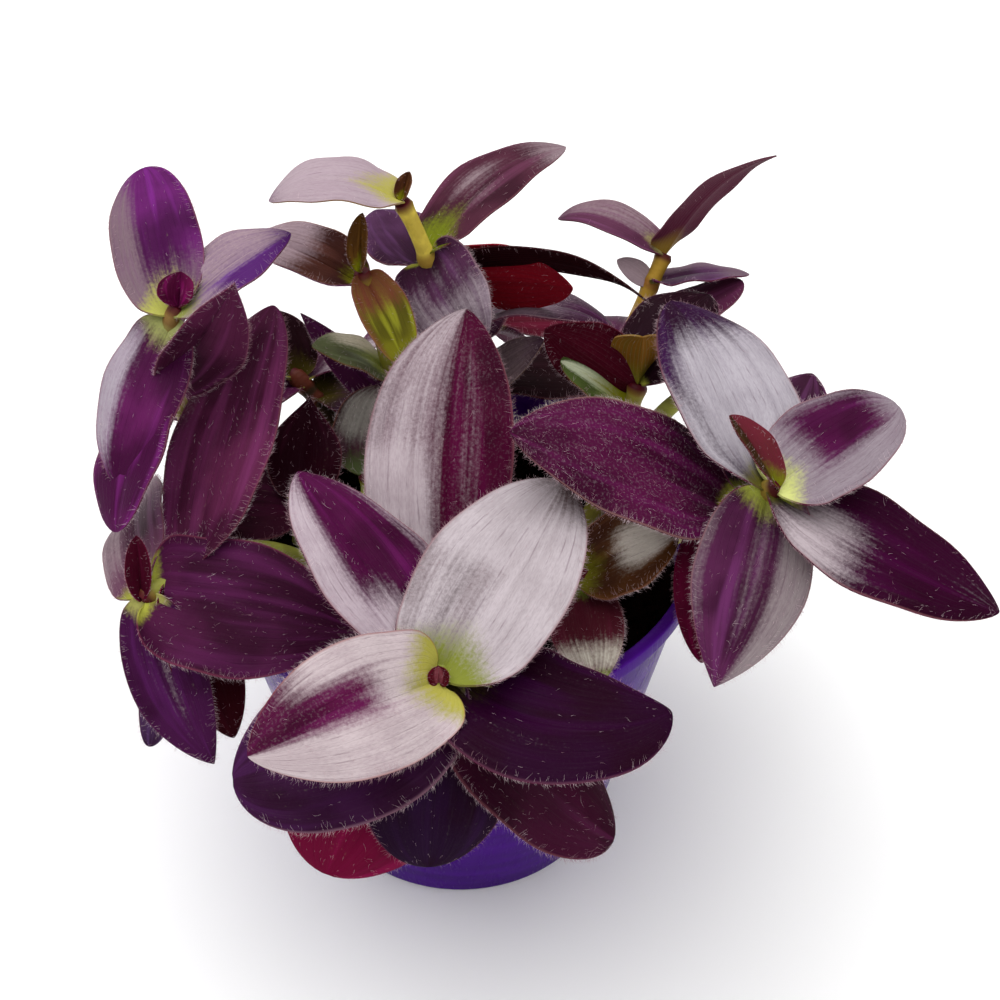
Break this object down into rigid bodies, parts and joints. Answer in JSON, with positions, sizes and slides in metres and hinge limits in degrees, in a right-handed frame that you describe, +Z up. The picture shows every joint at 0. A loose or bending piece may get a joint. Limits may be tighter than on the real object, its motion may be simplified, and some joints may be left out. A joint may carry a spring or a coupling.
{
  "type": "potted tradescantia",
  "caption": "Leafy house plant with broad pointed purple and silver leaves on short arching stems, growing in soil in a round tapered violet plastic pot with a lip.",
  "frame": {"origin": "centre of the pot's underside, where it stands", "axes": "+Z up along the pot's axis, +X to the right and +Y away from a viewer who faces the plant's front"},
  "size_m": [0.2014, 0.21, 0.1746],
  "materials": {
    "pot": "glossy violet-blue moulded plastic",
    "soil": "dark loose potting mix",
    "leaf": "fleshy hairy leaf, purple with silver areas and green bases"
  },
  "bodies": {
    "root": {"pot": "pot", "soil": "soil", "front_shoot": "leaf", "left_shoot": "leaf", "upper_left_shoot": "leaf", "bud_shoot": "leaf", "tall_shoot": "leaf", "far_shoot": "leaf", "middle_shoot": "leaf", "right_shoot": "leaf", "central_shoot": "leaf", "young_shoot": "leaf", "inner_left_shoot": "leaf", "inner_shoot": "leaf", "back_left_shoot": "leaf", "back_shoot": "leaf", "back_right_shoot": "leaf"}
  },
  "joints": []
}
